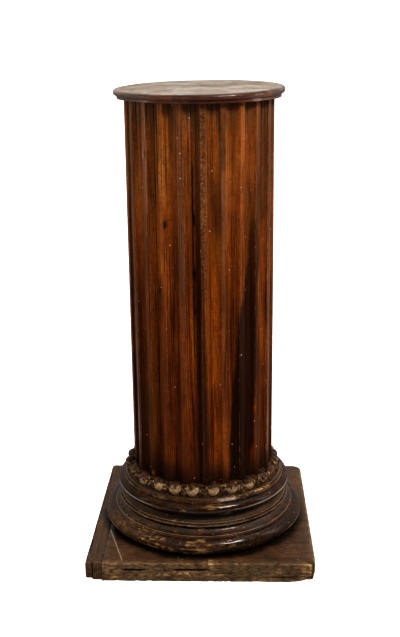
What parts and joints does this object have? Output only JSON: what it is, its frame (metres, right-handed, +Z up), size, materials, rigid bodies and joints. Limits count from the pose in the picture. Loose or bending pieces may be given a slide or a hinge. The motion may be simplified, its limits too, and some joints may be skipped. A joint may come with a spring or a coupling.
{
  "type": "fluted column",
  "caption": "Round wooden pedestal column: fluted shaft on a turned base with carved beads and a square plinth, with a flat round top that carries a bust, vase or lamp.",
  "frame": {"origin": "centre of the plinth's underside", "axes": "+Z up along the shaft, -Y towards the front, +X to the front view's right"},
  "size_m": [0.48, 0.48, 1],
  "materials": {
    "plinth_wood": "dark stain, worn and dusty",
    "cleat_wood": "dark stain, worn, end grain at the front",
    "base_wood": "dark brown varnish, rubbed and dusty",
    "shaft_wood": "red-brown varnish with dark old dirt in the flutes",
    "top_wood": "dry, faded top face with a glossy red-brown lip"
  },
  "bodies": {
    "root": {"plinth_board": "plinth_wood", "plinth_cleat": "cleat_wood", "base_moulding": "base_wood", "fluted_shaft": "shaft_wood", "top_board": "top_wood"}
  },
  "joints": []
}
